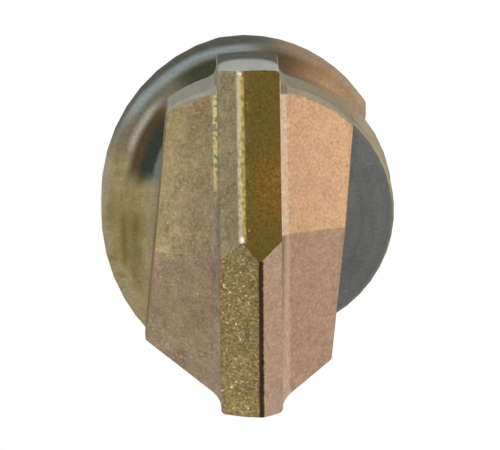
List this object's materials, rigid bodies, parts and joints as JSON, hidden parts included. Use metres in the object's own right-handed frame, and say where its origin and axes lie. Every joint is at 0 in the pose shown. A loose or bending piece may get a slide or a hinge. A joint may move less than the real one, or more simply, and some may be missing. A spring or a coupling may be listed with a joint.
{
  "type": "masonry drill bit",
  "caption": "Hammer-drill bit for masonry with a facetted cross-shaped carbide head, a right-hand fluted steel body and a slotted shank.",
  "frame": {"origin": "centre of the flat shank end, on the bit's axis", "axes": "+Z along the bit's axis towards the tip, Y along the main cutting blade, X along the two wings"},
  "size_m": [0.0102, 0.012, 0.16],
  "materials": {
    "carbide": "sintered, fine grained, warm tan, with grey ground ends",
    "body_steel": "milled and tempered, straw and blue-grey tints"
  },
  "bodies": {
    "root": {"carbide_head": "carbide", "drill_body": "body_steel"}
  },
  "joints": []
}
